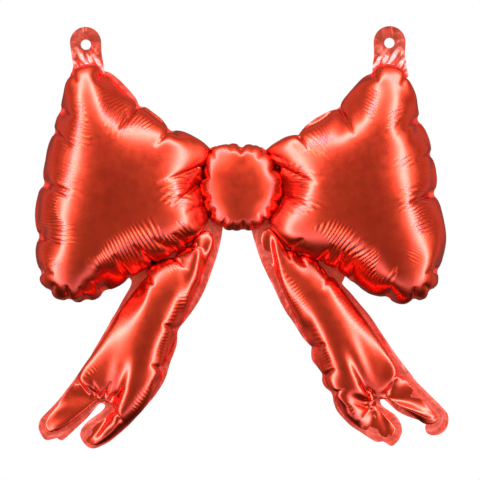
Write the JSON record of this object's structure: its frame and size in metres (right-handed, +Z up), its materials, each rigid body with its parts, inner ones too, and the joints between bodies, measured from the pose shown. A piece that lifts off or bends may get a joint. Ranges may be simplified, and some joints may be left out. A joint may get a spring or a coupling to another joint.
{
  "type": "foil bow balloon",
  "caption": "Inflated satin red foil balloon shaped like a tied bow: puffed loops and knot, forked tails, and punched tabs it hangs by.",
  "frame": {"origin": "midway between the centres of the two eyelets the balloon hangs by, in the middle plane between the front and back foils", "axes": "+Z up, +X to the viewer's right, -Y out of the front towards the viewer"},
  "size_m": [0.3872, 0.0854, 0.3978],
  "materials": {
    "knot_front_foil": "satin metallic red foil",
    "knot_back_foil": "satin metallic red foil",
    "left_loop_front_foil": "satin metallic red foil",
    "left_loop_back_foil": "satin metallic red foil",
    "valve_front_film": "clear, slightly milky thin film",
    "valve_back_film": "clear, slightly milky thin film",
    "right_loop_front_foil": "satin metallic red foil",
    "right_loop_back_foil": "satin metallic red foil",
    "left_tail_front_foil": "satin metallic red foil",
    "left_tail_back_foil": "satin metallic red foil",
    "right_tail_front_foil": "satin metallic red foil",
    "right_tail_back_foil": "satin metallic red foil",
    "left_tab_front_ply": "satin metallic red foil",
    "left_tab_back_ply": "satin metallic red foil",
    "right_tab_front_ply": "satin metallic red foil",
    "right_tab_back_ply": "satin metallic red foil"
  },
  "bodies": {
    "knot": {"knot_front_foil": "knot_front_foil", "knot_back_foil": "knot_back_foil"},
    "left_loop": {"left_loop_front_foil": "left_loop_front_foil", "left_loop_back_foil": "left_loop_back_foil", "valve_front_film": "valve_front_film", "valve_back_film": "valve_back_film"},
    "right_loop": {"right_loop_front_foil": "right_loop_front_foil", "right_loop_back_foil": "right_loop_back_foil"},
    "left_tail": {"left_tail_front_foil": "left_tail_front_foil", "left_tail_back_foil": "left_tail_back_foil"},
    "right_tail": {"right_tail_front_foil": "right_tail_front_foil", "right_tail_back_foil": "right_tail_back_foil"},
    "left_tab": {"left_tab_front_ply": "left_tab_front_ply", "left_tab_back_ply": "left_tab_back_ply"},
    "right_tab": {"right_tab_front_ply": "right_tab_front_ply", "right_tab_back_ply": "right_tab_back_ply"}
  },
  "joints": [
    {"name": "left_loop_swing", "type": "hinge", "parent": "knot", "child": "left_loop", "pos_m": [-0.0395, 0, -0.1356], "axis": [0, 0, 1], "range_deg": [-15, 15], "stiffness_Nm_per_rad": 0.02},
    {"name": "right_loop_swing", "type": "hinge", "parent": "knot", "child": "right_loop", "pos_m": [0.0395, 0, -0.1356], "axis": [0, 0, 1], "range_deg": [-15, 15], "stiffness_Nm_per_rad": 0.02},
    {"name": "left_tail_swing", "type": "hinge", "parent": "left_loop", "child": "left_tail", "pos_m": [-0.06685, 0, -0.19815], "axis": [0.8012, 0, 0.5984], "range_deg": [-20, 20], "stiffness_Nm_per_rad": 0.01},
    {"name": "right_tail_swing", "type": "hinge", "parent": "right_loop", "child": "right_tail", "pos_m": [0.06685, 0, -0.19815], "axis": [0.8012, 0, -0.5984], "range_deg": [-20, 20], "stiffness_Nm_per_rad": 0.01},
    {"name": "left_tab_fold", "type": "hinge", "parent": "left_loop", "child": "left_tab", "pos_m": [-0.1439, 0, -0.0228], "axis": [1, 0, 0], "range_deg": [-90, 90], "stiffness_Nm_per_rad": 0.0005},
    {"name": "right_tab_fold", "type": "hinge", "parent": "right_loop", "child": "right_tab", "pos_m": [0.1439, 0, -0.0228], "axis": [1, 0, 0], "range_deg": [-90, 90], "stiffness_Nm_per_rad": 0.0005}
  ]
}
